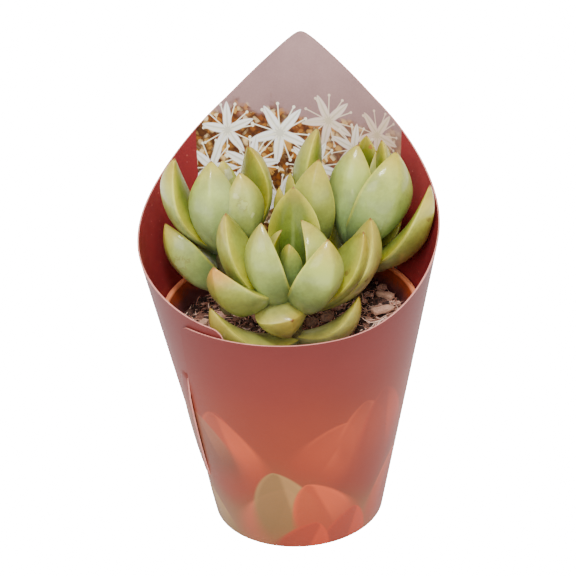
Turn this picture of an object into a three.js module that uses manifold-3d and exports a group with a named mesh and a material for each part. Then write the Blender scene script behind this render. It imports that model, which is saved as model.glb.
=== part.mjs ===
// A potted succulent: four leafy stems in a small round nursery pot, standing in a cone-shaped card sleeve.
// Millimetres, +Z up. The origin is the centre of the pot's underside, and the front of the sleeve is -Y.
import * as THREE from 'three';
import { mergeVertices } from 'three/addons/utils/BufferGeometryUtils.js';
import Module from 'manifold-3d';

const wasm = await Module();
wasm.setup();

// Driving dimensions

const GAP = 0.3; // clearance left between pieces that touch

const POT = {
  height: 54, // underside to rim
  rimRadius: 29.8,
  rimWidth: 1.2, // flat lip on top
  rimDepth: 5, // height of the thicker band under the lip
  rimStep: 0.7, // how far the band stands out from the wall
  wall: 0.8,
  floor: 1.2,
  taper: 0.188, // radius lost for each millimetre down
  drainRadius: 3,
  drainCount: 4,
  drainCircle: 12,
};

const SLEEVE = {
  footRadius: 20.2, // outside, where it stands
  taper: 0.197, // radius gained for each millimetre up
  card: 0.4, // thickness
  lapStep: 0.55, // how much closer in the sheet lies after one full turn
  lapOut: 0.25, // the outer end's distance outside the mean cone
  peakAngle: 172, // degrees from the front, positive to the right
  peakRounding: 2, // degrees of turn over which the point is rounded
  outerReach: 27.3, // the outer end lies this far left of the front line, on the flat card
  innerEnd: 332, // angle where the inner end stops, under the outer end
  cornerRadius: 2.5,
  // Height of the cut top edge at these angles away from the peak, to the left of it and to the right
  leftEdge: [[0, 106.6], [15, 98], [30, 90.6], [60, 79.7], [90, 72.8], [120, 68.4], [145, 65], [165, 63.4]],
  rightEdge: [[0, 106.6], [15, 98], [30, 90.6], [60, 79.7], [90, 71.9], [120, 65], [140, 62.2], [165, 61.6], [225, 62.2]],
};

const SOIL = {
  level: 46.8, // at the middle
  rise: 2, // higher at the wall
  slope: 1, // higher at the right wall, lower at the left
  frontDip: 4.5, // hollow at the front, under the lowest leaves
  dipPlace: [0, -12],
  dipSpread: 10,
  lumps: 0.35,
  holeFloor: 36,
};

// Each stem stands upright at x, y. A leaf is given by its tip, the height of its root on the stem, its width and
// thickness, how far its middle sags below the straight line from root to tip, the way its underside faces, in
// degrees from the front, positive to the right, and the share of its width that is left at the root. Aside is how
// far its root lies from the stem's axis.
const STEM_RADIUS = 2;

const FRONT_STEM = {
  name: 'leafy_stem_front',
  x: 0.5,
  y: -4.5,
  top: 62,
  leaves: [
    { tip: [-5.5, -8.5, 79.7], root: 58, wide: 11, thick: 6.2, sag: 4, faces: -38, neck: 0.35 },
    { tip: [8.9, -12.5, 76.8], root: 58.4, wide: 12.5, thick: 7.5, sag: 4, faces: 21, neck: 0.3 },
    { tip: [-13.3, -6, 81.2], root: 55.6, wide: 13, thick: 8.2, sag: 2.8, faces: -106, neck: 0.42 },
    { tip: [17.2, -5, 74.4], root: 56, wide: 13.5, thick: 8, sag: 2.7, faces: 105, neck: 0.45 },
    { tip: [19, -1, 75.8], root: 57, wide: 13.5, thick: 9.2, sag: 5.2, faces: 112, neck: 0.45 },
    { tip: [2, 1, 83.5], root: 58, wide: 12.3, thick: 6, sag: 1.6, faces: 166, neck: 0.45 },
    { tip: [0.3, -8, 73.8], root: 60.5, wide: 5.4, thick: 3.8, sag: -0.8, faces: -26, neck: 0.38 },
    { tip: [3.3, -3.3, 77.3], root: 60.8, wide: 10.5, thick: 5.5, sag: 4.8, faces: 63, neck: 0.45 },
    { tip: [-1, -6, 76.4], root: 60.6, wide: 7.3, thick: 3.5, sag: 2.8, faces: -110, neck: 0.45 },
    {
      tip: [-16.5, -15, 72.6], root: 61, wide: 13.5, thick: 6.8, sag: 5, faces: -22, neck: 0.36,
      aside: [-4, 5],
    },
    {
      tip: [0.3, -14, 57.6], root: 57.8, wide: 12.8, thick: 9.3, sag: 0.5, faces: -54, neck: 0.6,
      aside: [-4.8, 0.3],
    },
    { tip: [-17.9, -14, 62], root: 48, wide: 11.2, thick: 6.8, sag: 4.2, faces: -58, neck: 0.42 },
    { tip: [15.7, -5.5, 58.3], root: 48.6, wide: 8.4, thick: 5.2, sag: 3.4, faces: 67, neck: 0.38 },
  ],
};

const LEFT_STEM = {
  name: 'leafy_stem_left',
  x: -14.8,
  y: 10.5,
  top: 66,
  leaves: [
    { tip: [-16.3, 6.8, 88.3], root: 64.6, wide: 12, thick: 6.5, sag: 3.8, faces: -9, neck: 0.55 },
    {
      tip: [-10, 5.2, 85.8], root: 65, wide: 11, thick: 5.8, sag: 2.8, faces: 29, neck: 0.38,
      aside: [2.6, -0.5],
    },
    { tip: [-24.4, 7, 89.3], root: 64.4, wide: 12, thick: 7, sag: 3.5, faces: -101, neck: 0.45 },
    { tip: [-28, 9.5, 71.8], root: 54.6, wide: 10, thick: 6.3, sag: 2.6, faces: -24, neck: 0.33 },
    { tip: [-7.9, 12.4, 89], root: 62.7, wide: 11.7, thick: 6.5, sag: 4.8, faces: 126, neck: 0.45 },
    { tip: [-13.8, 8.9, 87.4], root: 64.5, wide: 9, thick: 4, sag: 0.8, faces: 35, neck: 0.45 },
    { tip: [-20.5, 20, 75], root: 59, wide: 11, thick: 6, sag: 2.5, faces: -150, neck: 0.45 },
    { tip: [-11.5, 22, 72], root: 58, wide: 11, thick: 6, sag: 2.5, faces: 160, neck: 0.45 },
  ],
};

const RIGHT_STEM = {
  name: 'leafy_stem_right',
  x: 15.3,
  y: 11.8,
  top: 66,
  leaves: [
    { tip: [17.2, 12.4, 88], root: 62.6, wide: 12, thick: 6.4, sag: 2, faces: -33, neck: 0.45 },
    { tip: [25.8, 10.4, 86.7], root: 64, wide: 14.8, thick: 7.2, sag: 4, faces: 21, neck: 0.5 },
    { tip: [19.5, 16.8, 88.2], root: 62.2, wide: 9.4, thick: 5, sag: 1.8, faces: 153, neck: 0.45 },
    { tip: [22.7, 13.5, 88.4], root: 63.8, wide: 9.3, thick: 6, sag: 2.3, faces: 110, neck: 0.45 },
    { tip: [32.6, 0.4, 82.7], root: 56.8, wide: 12, thick: 5.9, sag: 4.1, faces: 66, neck: 0.48 },
    { tip: [21.5, 15, 85], root: 64, wide: 5.5, thick: 4, sag: 0.5, faces: 60, neck: 0.45 },
    { tip: [15.5, 23, 70], root: 58, wide: 11, thick: 6, sag: 2.5, faces: -170, neck: 0.45 },
    { tip: [25.5, 16, 74], root: 59, wide: 11, thick: 6, sag: 2.5, faces: 130, neck: 0.45 },
  ],
};

const BACK_STEM = {
  name: 'leafy_stem_back',
  x: 5.7,
  y: 16.7,
  top: 66,
  leaves: [
    { tip: [8.3, 13.5, 92.1], root: 65, wide: 10, thick: 6.6, sag: 0.5, faces: -112, neck: 0.45 },
    { tip: [8.1, 7.1, 87.2], root: 59.5, wide: 11.2, thick: 6, sag: 3.8, faces: -18, neck: 0.45 },
    { tip: [-1.1, 12, 78.6], root: 60, wide: 6.6, thick: 4.6, sag: 1.8, faces: -65, neck: 0.45 },
    { tip: [1.5, 15.1, 80.6], root: 62, wide: 9, thick: 4.5, sag: 0.2, faces: -79, neck: 0.45 },
    { tip: [6.5, 26, 73], root: 59, wide: 11, thick: 6, sag: 2.5, faces: -170, neck: 0.45 },
  ],
};

const LEAFY_STEMS = [FRONT_STEM, LEFT_STEM, RIGHT_STEM, BACK_STEM];

// Loose bits that lie on the soil: place, size along, across and up, and turn in degrees
const BARK_CHIPS = [
  { x: 21.5, y: 1.5, size: [5.5, 3, 1.2], turn: 20 },
  { x: 22.5, y: 8.5, size: [4.5, 2.6, 1.2], turn: -35 },
  { x: -21, y: 2, size: [5, 2.4, 1.1], turn: 60 },
  { x: -6, y: 4.5, size: [5.5, 3.2, 1.2], turn: -15 },
];

const PEBBLES = [
  { x: 4.6, y: 2.2, size: [3.4, 2.8, 2.6], turn: 10 },
  { x: 8.4, y: 3, size: [4, 3, 2.6], turn: 40 },
];

// Shared helpers

const radians = THREE.MathUtils.degToRad;

function indexedGeometry(points, triangles) {
  const geometry = new THREE.BufferGeometry();
  const numbers = points.flatMap((point) => [point.x, point.y, point.z]);
  geometry.setAttribute('position', new THREE.Float32BufferAttribute(numbers, 3));
  geometry.setIndex(triangles);
  return geometry;
}

function toSolid(geometry) {
  const bare = geometry.clone();
  bare.deleteAttribute('normal');
  bare.deleteAttribute('uv');
  const merged = mergeVertices(bare, 1e-4);
  return new wasm.Manifold(new wasm.Mesh({
    numProp: 3,
    vertProperties: new Float32Array(merged.attributes.position.array),
    triVerts: new Uint32Array(merged.index.array),
  }));
}

function toGeometry(solid) {
  const { vertProperties, triVerts } = solid.getMesh();
  const geometry = new THREE.BufferGeometry();
  geometry.setAttribute('position', new THREE.BufferAttribute(vertProperties, 3));
  geometry.setIndex(new THREE.BufferAttribute(triVerts, 1));
  geometry.computeVertexNormals();
  return geometry;
}

// Joins solids into one body, without the scraps and sealed pockets that joining can leave
function fuse(solids) {
  const joined = solids.reduce((whole, solid) => whole.add(solid));
  const bodies = joined.decompose();
  return bodies.reduce((largest, body) => (body.volume() > largest.volume() ? body : largest));
}

function uprightCylinder(x, y, bottom, top, radius, sides) {
  const geometry = new THREE.CylinderGeometry(radius, radius, top - bottom, sides);
  geometry.rotateX(Math.PI / 2);
  geometry.translate(x, y, (top + bottom) / 2);
  return geometry;
}

// A closed skin over a grid of points: rings[i][j], where every ring goes round and both ends are shut by a point
function skinRings(rings, startPoint, endPoint) {
  const around = rings[0].length;
  const points = rings.flat();
  const start = points.push(startPoint) - 1;
  const end = points.push(endPoint) - 1;
  const last = (rings.length - 1) * around;
  const triangles = [];
  for (let j = 0; j < around; j += 1) {
    const next = (j + 1) % around;
    triangles.push(start, next, j);
    triangles.push(end, last + j, last + next);
    for (let i = 0; i < last; i += around) {
      triangles.push(i + j, i + next, i + around + next);
      triangles.push(i + j, i + around + next, i + around + j);
    }
  }
  return indexedGeometry(points, triangles);
}

// Leaves

const LEAF_RINGS = 9;
const LEAF_SECTION = [1, 0.55, 0, -0.55]; // places across the leaf, from one margin towards the other
const UPPER_SHARE = 0.26; // part of the thickness above the plane of the margins

function plumpness(along, widest, atRoot, rootPower, tipPower, tipCurve) {
  if (along < widest) {
    const swell = Math.sin((0.5 * Math.PI * along) / widest) ** rootPower;
    return atRoot + (1 - atRoot) * swell;
  }
  const towardTip = (along - widest) / (1 - widest);
  return (1 - towardTip ** tipPower) ** tipCurve;
}

const leafWidthAt = (along, neck) => plumpness(along, 0.55, neck, 1.05, 2, 0.92);
const leafThicknessAt = (along) => plumpness(along, 0.45, 0.55, 1, 2.2, 0.9);

function leafGeometry(root, leaf) {
  const tip = new THREE.Vector3(...leaf.tip);
  const chord = tip.clone().sub(root);
  const lengthwise = chord.clone().normalize();
  const facing = radians(leaf.faces);
  const across = new THREE.Vector3(Math.cos(facing), Math.sin(facing), 0);
  across.addScaledVector(lengthwise, -across.dot(lengthwise)).normalize();
  const upward = lengthwise.clone().cross(across);

  const rings = [];
  for (let i = 0; i < LEAF_RINGS; i += 1) {
    const along = 1 - (1 - i / LEAF_RINGS) ** 1.15;
    const middle = root.clone().addScaledVector(chord, along);
    middle.addScaledVector(upward, -4 * along * (1 - along) * leaf.sag);
    const heading = chord.clone().addScaledVector(upward, -4 * (1 - 2 * along) * leaf.sag).normalize();
    const raised = upward.clone().addScaledVector(heading, -upward.dot(heading)).normalize();
    const halfWidth = (leaf.wide / 2) * leafWidthAt(along, leaf.neck);
    const above = leaf.thick * UPPER_SHARE * leafThicknessAt(along);
    const below = leaf.thick * (1 - UPPER_SHARE) * leafThicknessAt(along);
    const place = (q, height) => middle.clone()
      .addScaledVector(across, halfWidth * q)
      .addScaledVector(raised, height);
    const upperFace = LEAF_SECTION.map((q) => place(q, above * (1 - q * q) ** 0.9));
    const keeled = (q) => 0.6 * (1 - q * q) ** 0.62 + 0.4 * (1 - Math.abs(q));
    const lowerFace = LEAF_SECTION.map((q) => place(-q, -below * keeled(q)));
    rings.push([...upperFace, ...lowerFace]);
  }
  return skinRings(rings, root.clone(), tip);
}

function leafyStem(plan) {
  const stem = uprightCylinder(plan.x, plan.y, SOIL.holeFloor + GAP, plan.top, STEM_RADIUS, 12);
  const leaves = plan.leaves.map((leaf) => {
    const [asideX, asideY] = leaf.aside ?? [0, 0];
    return leafGeometry(new THREE.Vector3(plan.x + asideX, plan.y + asideY, leaf.root), leaf);
  });
  return toGeometry(fuse([stem, ...leaves].map(toSolid)));
}

// Pot

function potWallRadius(z) {
  return POT.rimRadius - POT.rimStep - POT.taper * (POT.height - z);
}

const potInnerRadius = (z) => potWallRadius(z) - POT.wall;

function potGeometry() {
  const bandFoot = POT.height - POT.rimDepth;
  const lipInside = POT.rimRadius - POT.rimWidth;
  const profile = [
    [0, 0],
    [potWallRadius(0), 0],
    [potWallRadius(bandFoot), bandFoot],
    [potWallRadius(bandFoot) + POT.rimStep, bandFoot],
    [POT.rimRadius, POT.height - 0.4],
    [POT.rimRadius - 0.4, POT.height],
    [lipInside, POT.height],
    [potInnerRadius(bandFoot), bandFoot],
    [potInnerRadius(POT.floor), POT.floor],
    [0, POT.floor],
  ].map(([radius, z]) => new THREE.Vector2(radius, z));
  const turned = new THREE.LatheGeometry(profile, 60);
  turned.rotateX(Math.PI / 2);
  let solid = toSolid(turned);
  for (let i = 0; i < POT.drainCount; i += 1) {
    const angle = radians(45 + (360 / POT.drainCount) * i);
    const x = POT.drainCircle * Math.cos(angle);
    const y = POT.drainCircle * Math.sin(angle);
    solid = solid.subtract(toSolid(uprightCylinder(x, y, -1, POT.floor + 1, POT.drainRadius, 16)));
  }
  return toGeometry(solid);
}

// Soil

function soilHeight(x, y) {
  const reach = 27;
  const bowl = SOIL.rise * ((x * x + y * y) / (reach * reach)) + SOIL.slope * (x / reach);
  const dipX = x - SOIL.dipPlace[0];
  const dipY = y - SOIL.dipPlace[1];
  const dip = SOIL.frontDip * Math.exp(-(dipX * dipX + dipY * dipY) / (2 * SOIL.dipSpread ** 2));
  const lump = SOIL.lumps * (Math.sin(1.1 * x + 0.7) * Math.cos(1.3 * y - 0.4) + 0.6 * Math.sin(0.6 * x - 0.9 * y));
  return SOIL.level + bowl - dip + lump;
}

function soilGeometry() {
  const rounds = 12;
  const steps = 44;
  const bottom = POT.floor + GAP;
  const rim = potInnerRadius(SOIL.level) - GAP;
  const ring = (radius, heightAt) => Array.from({ length: steps }, (_, j) => {
    const angle = (2 * Math.PI * j) / steps;
    const x = radius * Math.cos(angle);
    const y = radius * Math.sin(angle);
    return new THREE.Vector3(x, y, heightAt(x, y));
  });
  const rings = [
    ring((potInnerRadius(bottom) - GAP) / 2, () => bottom),
    ring(potInnerRadius(bottom) - GAP, () => bottom),
  ];
  for (let i = rounds; i > 0; i -= 1) {
    rings.push(ring((rim * i) / rounds, soilHeight));
  }
  const skin = skinRings(rings, new THREE.Vector3(0, 0, bottom), new THREE.Vector3(0, 0, soilHeight(0, 0)));
  let solid = toSolid(skin);
  for (const stem of LEAFY_STEMS) {
    const hole = uprightCylinder(stem.x, stem.y, SOIL.holeFloor, POT.height + 6, STEM_RADIUS + GAP, 16);
    solid = solid.subtract(toSolid(hole));
  }
  return toGeometry(solid);
}

// The height at which a loose bit clears the soil under all of its width
function restHeight(bit) {
  const reach = Math.max(...bit.size) / 2;
  let highest = -Infinity;
  for (let dx = -reach; dx <= reach; dx += reach / 4) {
    for (let dy = -reach; dy <= reach; dy += reach / 4) {
      highest = Math.max(highest, soilHeight(bit.x + dx, bit.y + dy));
    }
  }
  return highest + GAP;
}

function placeBit(geometry, bit) {
  geometry.rotateZ(radians(bit.turn));
  geometry.translate(bit.x, bit.y, restHeight(bit));
  return geometry;
}

function barkChipGeometry(bit) {
  const [length, width, thickness] = bit.size;
  const outline = new THREE.Shape([
    new THREE.Vector2(-0.5, -0.2),
    new THREE.Vector2(-0.2, -0.5),
    new THREE.Vector2(0.35, -0.4),
    new THREE.Vector2(0.5, 0.1),
    new THREE.Vector2(0.1, 0.5),
    new THREE.Vector2(-0.4, 0.3),
  ]);
  const geometry = new THREE.ExtrudeGeometry(outline, { depth: 1, bevelEnabled: false });
  geometry.scale(length, width, thickness);
  return placeBit(geometry, bit);
}

function pebbleGeometry(bit) {
  const geometry = new THREE.IcosahedronGeometry(0.5, 2);
  geometry.scale(...bit.size);
  geometry.translate(0, 0, bit.size[2] / 2);
  return placeBit(geometry, bit);
}

// Sleeve

const coneSine = Math.sin(Math.atan(SLEEVE.taper));
const coneCosine = Math.cos(Math.atan(SLEEVE.taper));
const apexDepth = SLEEVE.footRadius / SLEEVE.taper; // the cone's apex lies this far under the foot

const slantAt = (z) => (z + apexDepth) / coneCosine;

// A smooth height through stations of [angle, height], each slope taken from the neighbours
function heightAlong(stations, angle) {
  const last = stations.length - 1;
  const right = Math.max(stations.findIndex(([end]) => end >= angle), 1);
  const [from, to] = [stations[right - 1], stations[right]];
  const slopeAt = (i) => {
    const [low, high] = [stations[Math.max(i - 1, 0)], stations[Math.min(i + 1, last)]];
    return (high[1] - low[1]) / (high[0] - low[0]);
  };
  const width = to[0] - from[0];
  const t = (angle - from[0]) / width;
  return (1 + 2 * t) * (1 - t) ** 2 * from[1] + t * (1 - t) ** 2 * width * slopeAt(right - 1)
    + t * t * (3 - 2 * t) * to[1] - t * t * (1 - t) * width * slopeAt(right);
}

function sleeveTop(angle) {
  const turned = angle - SLEEVE.peakAngle;
  const fromPeak = Math.hypot(turned, SLEEVE.peakRounding);
  return heightAlong(turned > 0 ? SLEEVE.leftEdge : SLEEVE.rightEdge, fromPeak);
}

function outerEndAngle(z) {
  const flatTurn = Math.asin(SLEEVE.outerReach / slantAt(z));
  return -THREE.MathUtils.radToDeg(flatTurn) / coneSine;
}

function roundedCornerDrop(distance) {
  const short = Math.max(SLEEVE.cornerRadius - distance, 0);
  return SLEEVE.cornerRadius - Math.sqrt(SLEEVE.cornerRadius ** 2 - short ** 2);
}

function sleeveGeometry() {
  const rows = 6;
  const topOfOuterEnd = 62;
  const start = outerEndAngle(topOfOuterEnd);
  const turn = SLEEVE.innerEnd - start;
  const peak = SLEEVE.peakAngle - start;
  const evenly = (from, to) => {
    const steps = Math.ceil((to - from) / 5.25);
    return Array.from({ length: steps + 1 }, (_, i) => from + ((to - from) * i) / steps);
  };
  // Columns in degrees from the outer end, close together at both rounded ends and at the rounded point
  const columns = [
    0, 0.4, 1.2, 2.4,
    ...evenly(4, peak - 5),
    peak - 3, peak - 1, peak + 1, peak + 3,
    ...evenly(peak + 5, turn - 4),
    turn - 2.4, turn - 1.2, turn - 0.4, turn,
  ];

  const outside = [];
  const inside = [];
  for (const travelled of columns) {
    const share = travelled / turn;
    const angleAtTop = start + travelled;
    const topRadius = SLEEVE.footRadius + SLEEVE.taper * topOfOuterEnd;
    const fromEnd = radians(Math.min(travelled, turn - travelled)) * topRadius;
    const top = sleeveTop(angleAtTop) - roundedCornerDrop(fromEnd);
    for (let i = 0; i <= rows; i += 1) {
      const z = (top * i) / rows;
      const ownStart = outerEndAngle(Math.min(z, topOfOuterEnd));
      const angle = radians(ownStart + (SLEEVE.innerEnd - ownStart) * share);
      const radius = SLEEVE.footRadius + SLEEVE.taper * z + SLEEVE.lapOut - (SLEEVE.lapStep * travelled) / 360;
      const place = (r) => new THREE.Vector3(r * Math.sin(angle), -r * Math.cos(angle), z);
      outside.push(place(radius));
      inside.push(place(radius - SLEEVE.card));
    }
  }

  const points = [...outside, ...inside];
  const across = rows + 1;
  const inner = outside.length;
  const last = (columns.length - 1) * across;
  const triangles = [];
  const quad = (a, b, c, d) => triangles.push(a, b, c, a, c, d);
  for (let i = 0; i < rows; i += 1) {
    for (let j = 0; j < last; j += across) {
      const corner = j + i;
      quad(corner, corner + across, corner + across + 1, corner + 1);
      quad(inner + corner, inner + corner + 1, inner + corner + across + 1, inner + corner + across);
    }
    quad(i, i + 1, inner + i + 1, inner + i);
    quad(last + i, inner + last + i, inner + last + i + 1, last + i + 1);
  }
  for (let j = 0; j < last; j += across) {
    quad(j, inner + j, inner + j + across, j + across);
    quad(j + rows, j + across + rows, inner + j + across + rows, inner + j + rows);
  }
  return indexedGeometry(points, triangles);
}

// Materials and the whole object

const finish = (color, roughness) => new THREE.MeshStandardMaterial({ color, roughness, metalness: 0 });
const LEAF_GREENS = { front: 0xb9c586, left: 0xb2c48f, right: 0xb4c68e, back: 0xb8c47c };

const plant = new THREE.Group();

function add(name, geometry, material) {
  const mesh = new THREE.Mesh(geometry, material);
  mesh.name = name;
  plant.add(mesh);
}

add('sleeve', sleeveGeometry(), finish(0xa5554e, 0.35));
add('pot', potGeometry(), finish(0xc46a45, 0.5));
add('growing_medium', soilGeometry(), finish(0x6b4a3a, 0.95));
for (const stem of LEAFY_STEMS) {
  add(stem.name, leafyStem(stem), finish(LEAF_GREENS[stem.name.split('_').pop()], 0.45));
}
BARK_CHIPS.forEach((bit, i) => add(`bark_chip_${i + 1}`, barkChipGeometry(bit), finish(0xc9a98a, 0.9)));
PEBBLES.forEach((bit, i) => add(`pebble_${i + 1}`, pebbleGeometry(bit), finish(0xa5755f, 0.8)));

export default plant;
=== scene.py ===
"""A potted succulent: four leafy stems in a nursery pot, standing in a cone-shaped card sleeve.

Sizes in the tables are in millimetres, with the origin at the centre of the pot's underside and the front
at -Y.
"""

import math
import random

import bmesh
import bpy
from mathutils import Matrix, Vector, noise


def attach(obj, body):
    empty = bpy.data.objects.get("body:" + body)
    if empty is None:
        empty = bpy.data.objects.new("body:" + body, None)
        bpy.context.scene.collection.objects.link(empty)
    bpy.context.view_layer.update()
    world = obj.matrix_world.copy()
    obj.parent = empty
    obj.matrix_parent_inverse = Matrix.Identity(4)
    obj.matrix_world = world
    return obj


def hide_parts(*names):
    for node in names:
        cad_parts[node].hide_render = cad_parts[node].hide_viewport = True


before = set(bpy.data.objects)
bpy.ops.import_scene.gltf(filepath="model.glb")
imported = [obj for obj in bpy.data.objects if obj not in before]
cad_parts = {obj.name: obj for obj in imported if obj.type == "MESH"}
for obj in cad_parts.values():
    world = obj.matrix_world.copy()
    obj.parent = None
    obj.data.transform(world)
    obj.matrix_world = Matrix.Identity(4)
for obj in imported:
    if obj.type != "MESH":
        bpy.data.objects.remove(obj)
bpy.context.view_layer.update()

MM = 0.001

# Leaves and their stems. Warmth runs from 0, a bluish green, to 1, a yellow green.

STEM_RADIUS = 2
STEM_FOOT = 36.3


def leaf_plan(tip, root, wide, thick, sag, faces, neck, warmth, aside=(0, 0), blush=0, pale=0):
    """One leaf: its tip, the height of its root on the stem, its width and thickness, how far its middle sags
    below the straight line from root to tip, the way its underside faces in degrees from the front, the share
    of its width that is left at the root, how yellow it is, how far its root lies aside of the stem's axis,
    its orange blush, and how far it is lightened towards a pale yellow: partly the yellowing of an older
    leaf, partly painted light that brightens leaves lying in shade"""
    return {
        "tip": tip, "root": root, "wide": wide, "thick": thick, "sag": sag, "faces": faces, "neck": neck,
        "warmth": warmth, "aside": aside, "blush": blush, "pale": pale,
    }


LEAFY_STEMS = {
    "leafy_stem_front": {
        "place": (0.5, -4.5),
        "top": 62,
        "leaves": [
            leaf_plan((-5.5, -8.5, 79.7), 58, 11, 6.2, 4, -38, 0.35, 0.35),
            leaf_plan((8.9, -12.5, 76.8), 58.4, 12.5, 7.5, 4, 21, 0.3, 0.3),
            leaf_plan((-13.3, -6, 81.2), 55.6, 13, 8.2, 2.8, -106, 0.42, 0.75),
            leaf_plan((17.2, -5, 74.4), 56, 13.5, 8, 2.7, 105, 0.45, 0.8),
            leaf_plan((19, -1, 75.8), 57, 13.5, 9.2, 5.2, 112, 0.45, 0.7, pale=0.4),
            leaf_plan((2, 1, 83.5), 58, 12.3, 6, 1.6, 166, 0.45, 0.5),
            leaf_plan((0.3, -8, 73.8), 60.5, 5.4, 3.8, -0.8, -26, 0.38, 0),
            leaf_plan((3.3, -3.3, 77.3), 60.8, 10.5, 5.5, 4.8, 63, 0.45, 0.6),
            leaf_plan((-1, -6, 76.4), 60.6, 7.3, 3.5, 2.8, -110, 0.45, 0.6),
            leaf_plan(
                (-16.5, -15, 72.6), 61, 13.5, 6.8, 5, -22, 0.36, 0.3, aside=(-4, 5), blush=0.7, pale=0.05,
            ),
            leaf_plan((0.3, -14, 57.6), 57.8, 12.8, 9.3, 0.5, -54, 0.6, 0.6, aside=(-4.8, 0.3), pale=0.3),
            leaf_plan((-17.9, -14, 62), 48, 11.2, 6.8, 4.2, -58, 0.42, 0.8, pale=0.2),
            leaf_plan((15.7, -5.5, 58.3), 48.6, 8.4, 5.2, 3.4, 67, 0.38, 0.7, pale=0.3),
        ],
    },
    "leafy_stem_left": {
        "place": (-14.8, 10.5),
        "top": 66,
        "leaves": [
            leaf_plan((-16.3, 6.8, 88.3), 64.6, 12, 6.5, 3.8, -9, 0.55, 0.15),
            leaf_plan((-10, 5.2, 85.8), 65, 11, 5.8, 2.8, 29, 0.38, 0.6, aside=(2.6, -0.5)),
            leaf_plan((-24.4, 7, 89.3), 64.4, 12, 7, 3.5, -101, 0.45, 0.6),
            leaf_plan((-28, 9.5, 71.8), 54.6, 10, 6.3, 2.6, -24, 0.33, 0.4),
            leaf_plan((-7.9, 12.4, 89), 62.7, 11.7, 6.5, 4.8, 126, 0.45, 0.8),
            leaf_plan((-13.8, 8.9, 87.4), 64.5, 9, 4, 0.8, 35, 0.45, 0.6),
            leaf_plan((-20.5, 20, 75), 59, 11, 6, 2.5, -150, 0.45, 0.5),
            leaf_plan((-11.5, 22, 72), 58, 11, 6, 2.5, 160, 0.45, 0.5),
        ],
    },
    "leafy_stem_right": {
        "place": (15.3, 11.8),
        "top": 66,
        "leaves": [
            leaf_plan((17.2, 12.4, 88), 62.6, 12, 6.4, 2, -33, 0.45, 0.15),
            leaf_plan((25.8, 10.4, 86.7), 64, 14.8, 7.2, 4, 21, 0.5, 0.3),
            leaf_plan((19.5, 16.8, 88.2), 62.2, 9.4, 5, 1.8, 153, 0.45, 0.5),
            leaf_plan((22.7, 13.5, 88.4), 63.8, 9.3, 6, 2.3, 110, 0.45, 0.5),
            leaf_plan((32.6, 0.4, 82.7), 56.8, 12, 5.9, 4.1, 66, 0.48, 0.75),
            leaf_plan((21.5, 15, 85), 64, 5.5, 4, 0.5, 60, 0.45, 0.5),
            leaf_plan((15.5, 23, 70), 58, 11, 6, 2.5, -170, 0.45, 0.5),
            leaf_plan((25.5, 16, 74), 59, 11, 6, 2.5, 130, 0.45, 0.5),
        ],
    },
    "leafy_stem_back": {
        "place": (5.7, 16.7),
        "top": 66,
        "leaves": [
            leaf_plan((8.3, 13.5, 92.1), 65, 10, 6.6, 0.5, -112, 0.45, 0.6),
            leaf_plan((8.1, 7.1, 87.2), 59.5, 11.2, 6, 3.8, -18, 0.45, 0.55),
            leaf_plan((-1.1, 12, 78.6), 60, 6.6, 4.6, 1.8, -65, 0.45, 0.6),
            leaf_plan((1.5, 15.1, 80.6), 62, 9, 4.5, 0.2, -79, 0.45, 0.6),
            leaf_plan((6.5, 26, 73), 59, 11, 6, 2.5, -170, 0.45, 0.5),
        ],
    },
}

# Sleeve, pot and growing medium, as in the solids. The slit is only in this scene.

SLEEVE_FOOT_RADIUS = 20.2
SLEEVE_TAPER = 0.197
CARD = 0.4
LAP_STEP = 0.55
LAP_OUT = 0.25
PEAK_ANGLE = 172
PEAK_ROUNDING = 2
OUTER_REACH = 27.3
INNER_END = 332
TOP_OF_OUTER_END = 62
CORNER_RADIUS = 2.5
SLIT_TOP = (-54.2, 46.5)
SLIT_FOOT = (-62.6, 15)
SLIT_LIP_WIDTH = 16
SLIT_LIFT = 0.25

# The sleeve's upper edge: degrees from the peak, and height
PEAK_EDGE = [(0, 106.6), (15, 98), (30, 90.6), (60, 79.7)]
LEFT_EDGE = [*PEAK_EDGE, (90, 72.8), (120, 68.4), (145, 65), (165, 63.4)]
RIGHT_EDGE = [*PEAK_EDGE, (90, 71.9), (120, 65), (140, 62.2), (165, 61.6), (225, 62.2)]

POT_HEIGHT = 54
POT_RIM_RADIUS = 29.8
POT_RIM_WIDTH = 1.2
POT_RIM_DEPTH = 5
POT_RIM_STEP = 0.7
POT_WALL = 0.8
POT_FLOOR = 1.2
POT_TAPER = 0.188
DRAIN_RADIUS = 3
DRAIN_COUNT = 4
DRAIN_CIRCLE = 12

SOIL_LEVEL = 46.8
SOIL_RISE = 2
SOIL_SLOPE = 1
SOIL_DIP = 4.5
SOIL_DIP_PLACE = (0, -12)
SOIL_DIP_SPREAD = 10
SOIL_LUMPS = 0.35
SOIL_REACH = 27
SOIL_GAP = 0.3

BARK_CHIPS = [
    {"name": "bark_chip_1", "place": (21.5, 1.5), "size": (5.5, 3, 1.2), "turn": 20},
    {"name": "bark_chip_2", "place": (22.5, 8.5), "size": (4.5, 2.6, 1.2), "turn": -35},
    {"name": "bark_chip_3", "place": (-21, 2), "size": (5, 2.4, 1.1), "turn": 60},
    {"name": "bark_chip_4", "place": (-6, 4.5), "size": (5.5, 3.2, 1.2), "turn": -15},
]
PEBBLES = [
    {"name": "pebble_1", "place": (4.6, 2.2), "size": (3.4, 2.8, 2.6), "turn": 10},
    {"name": "pebble_2", "place": (8.4, 3), "size": (4, 3, 2.6), "turn": 40},
]

# Crumbs and fibres on the growing medium, which are only in this scene

CRUMB_COUNT = 2600
CRUMB_REACH = 26.6
FIBRE_COUNT = 1500
FIBRE_REACH = 26.3
FIBRE_LIMIT = 26.7


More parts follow.
